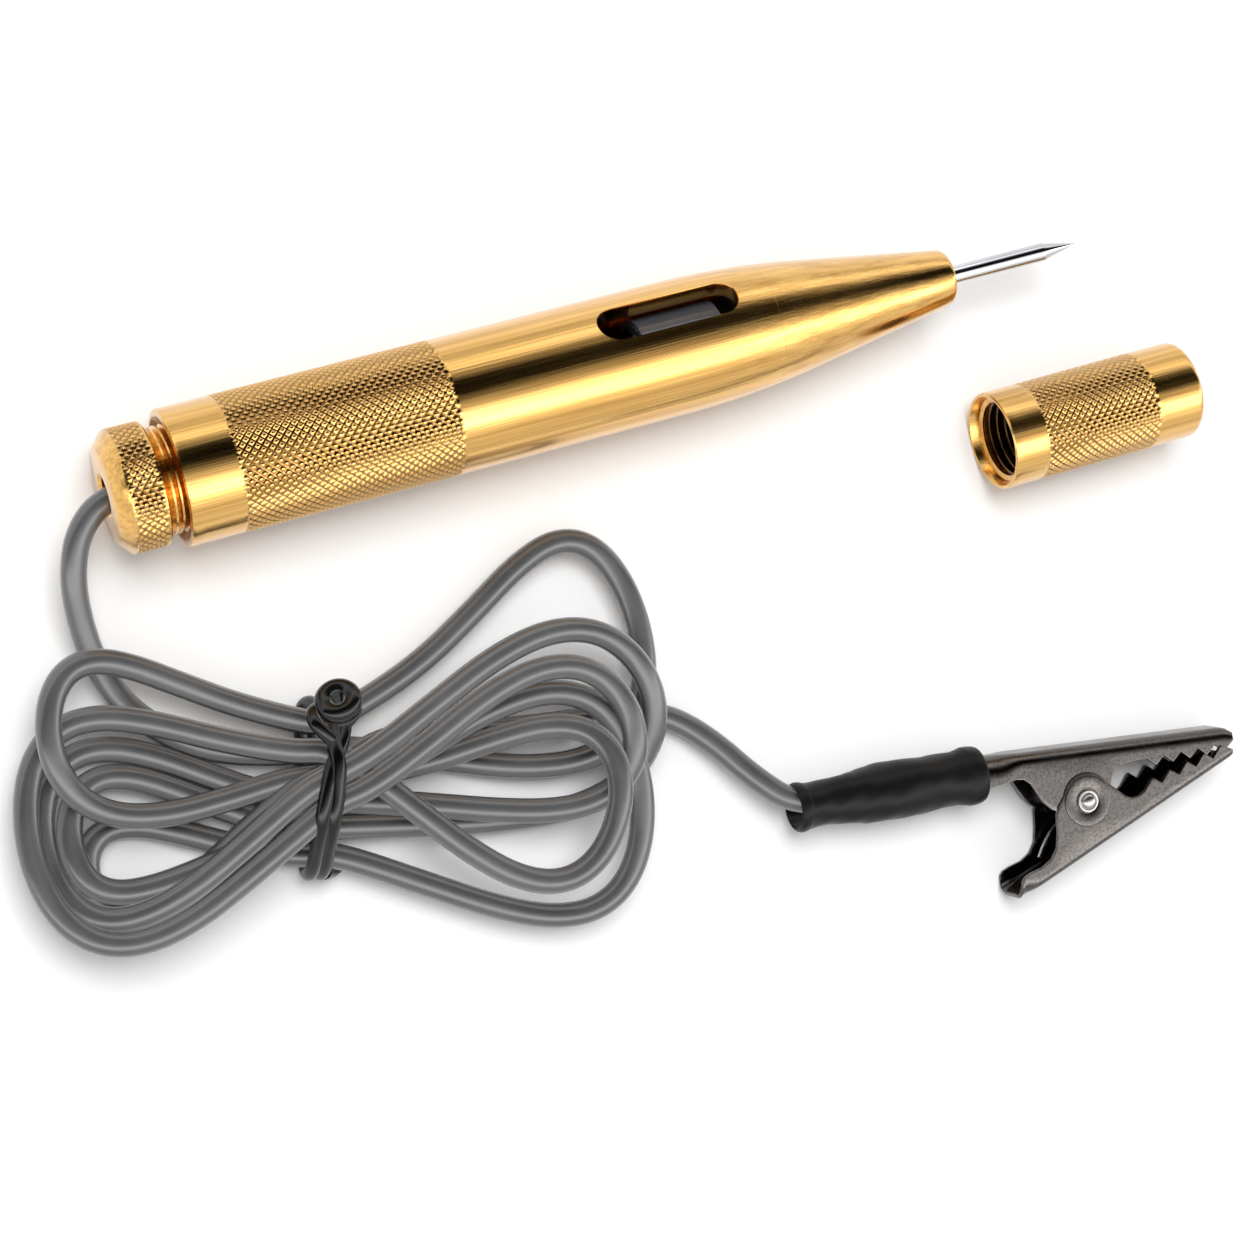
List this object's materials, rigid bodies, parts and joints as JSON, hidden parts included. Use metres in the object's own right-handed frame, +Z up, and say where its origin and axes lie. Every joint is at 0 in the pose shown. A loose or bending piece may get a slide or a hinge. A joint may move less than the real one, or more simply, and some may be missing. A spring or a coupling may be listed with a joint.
{
  "type": "circuit test light",
  "caption": "Brass circuit test light with a steel probe needle, bulb window, knurled grip, screw-off tail nut, tied cord, crocodile clip and a loose needle guard.",
  "frame": {"origin": "on the floor, under the middle of the box around the tester and its loose guard cap", "axes": "+X along the tester from the tail nut to the needle, +Z up from the floor the tester lies on"},
  "size_m": [0.1454, 0.08, 0.015],
  "materials": {
    "body_brass": "lacquered turned brass, satin, with a diamond knurl",
    "nose_brass": "lacquered turned brass, satin",
    "nut_brass": "turned brass with a knurled rim",
    "cap_brass": "turned brass with a knurled waist and internal thread",
    "contact_brass": "bare brass",
    "insulation": "matte moulded insulation",
    "liner": "brown pressboard-like insulation",
    "needle_steel": "polished nickel-plated steel",
    "ferrule_tin": "tin plated",
    "copper": "stranded copper",
    "bulb_glass": "clear glass",
    "bulb_metal": "satin",
    "filament": "tungsten wire",
    "spring_steel": "nickel-plated spring wire",
    "cord_pvc": "soft grey PVC with a satin gloss",
    "tie_black": "glossy black",
    "sleeve_rubber": "black satin",
    "clip_steel": "nickel-plated stamped steel, mottled",
    "rivet_steel": "polished"
  },
  "bodies": {
    "cord_set": {"cord_bush": "insulation", "cord_ferrule": "ferrule_tin", "cord_conductor": "copper", "rear_contact": "contact_brass", "contact_spring": "spring_steel", "cord_lead_tail": "cord_pvc", "cord_hank": "cord_pvc", "cord_lead_clip": "cord_pvc", "tie_band": "tie_black", "tie_head": "tie_black", "clip_sleeve": "sleeve_rubber", "clip_upper_jaw": "clip_steel", "clip_rivet": "rivet_steel", "clip_spring": "spring_steel"},
    "nut": {"tail_nut": "nut_brass"},
    "grip": {"barrel": "body_brass", "insulating_tube": "liner", "bulb_glass": "bulb_glass", "bulb_rear_cap": "bulb_metal", "bulb_front_cap": "bulb_metal", "bulb_filament": "filament"},
    "needle_set": {"needle": "needle_steel", "nose_bush": "insulation", "front_contact": "contact_brass"},
    "nose": {"nose_cone": "nose_brass"},
    "clip_jaw": {"clip_lower_jaw": "clip_steel"},
    "guard": {"cap": "cap_brass"}
  },
  "joints": [
    {"name": "nut_turn", "type": "hinge", "parent": "cord_set", "child": "nut", "pos_m": [-0.0635, 0.009, 0.0075], "axis": [1, 0, 0], "range_deg": [-3062, 650]},
    {"name": "barrel_slide", "type": "slide", "parent": "cord_set", "child": "grip", "axis": [1, 0, 0], "range_m": [-0.0018, 0.0085], "deforming": ["contact_spring"]},
    {"name": "nose_turn", "type": "hinge", "parent": "needle_set", "child": "nose", "pos_m": [-0.0635, 0.009, 0.0075], "axis": [1, 0, 0], "range_deg": [0, 1801]},
    {"name": "needle_slide", "type": "slide", "parent": "grip", "child": "needle_set", "axis": [1, 0, 0], "range_m": [0, 0.005]},
    {"name": "clip_jaw_hinge", "type": "hinge", "parent": "cord_set", "child": "clip_jaw", "pos_m": [0.0384, -0.05415, 0.0035], "axis": [-0.0095, 0.0543, -0.9985], "range_deg": [0, 36], "stiffness_Nm_per_rad": 0.01, "springref_deg": -17.19, "deforming": ["clip_spring"]},
    {"name": "cap_slide", "type": "slide", "parent": "cord_set", "child": "guard", "axis": [1, 0, 0], "range_m": [0, 0.04]}
  ],
  "couplings": [
    {"joint": "nut_turn", "follows": "barrel_slide", "rad_per_m": -6283.2},
    {"joint": "nose_turn", "follows": "needle_slide", "rad_per_m": 6283.2}
  ]
}
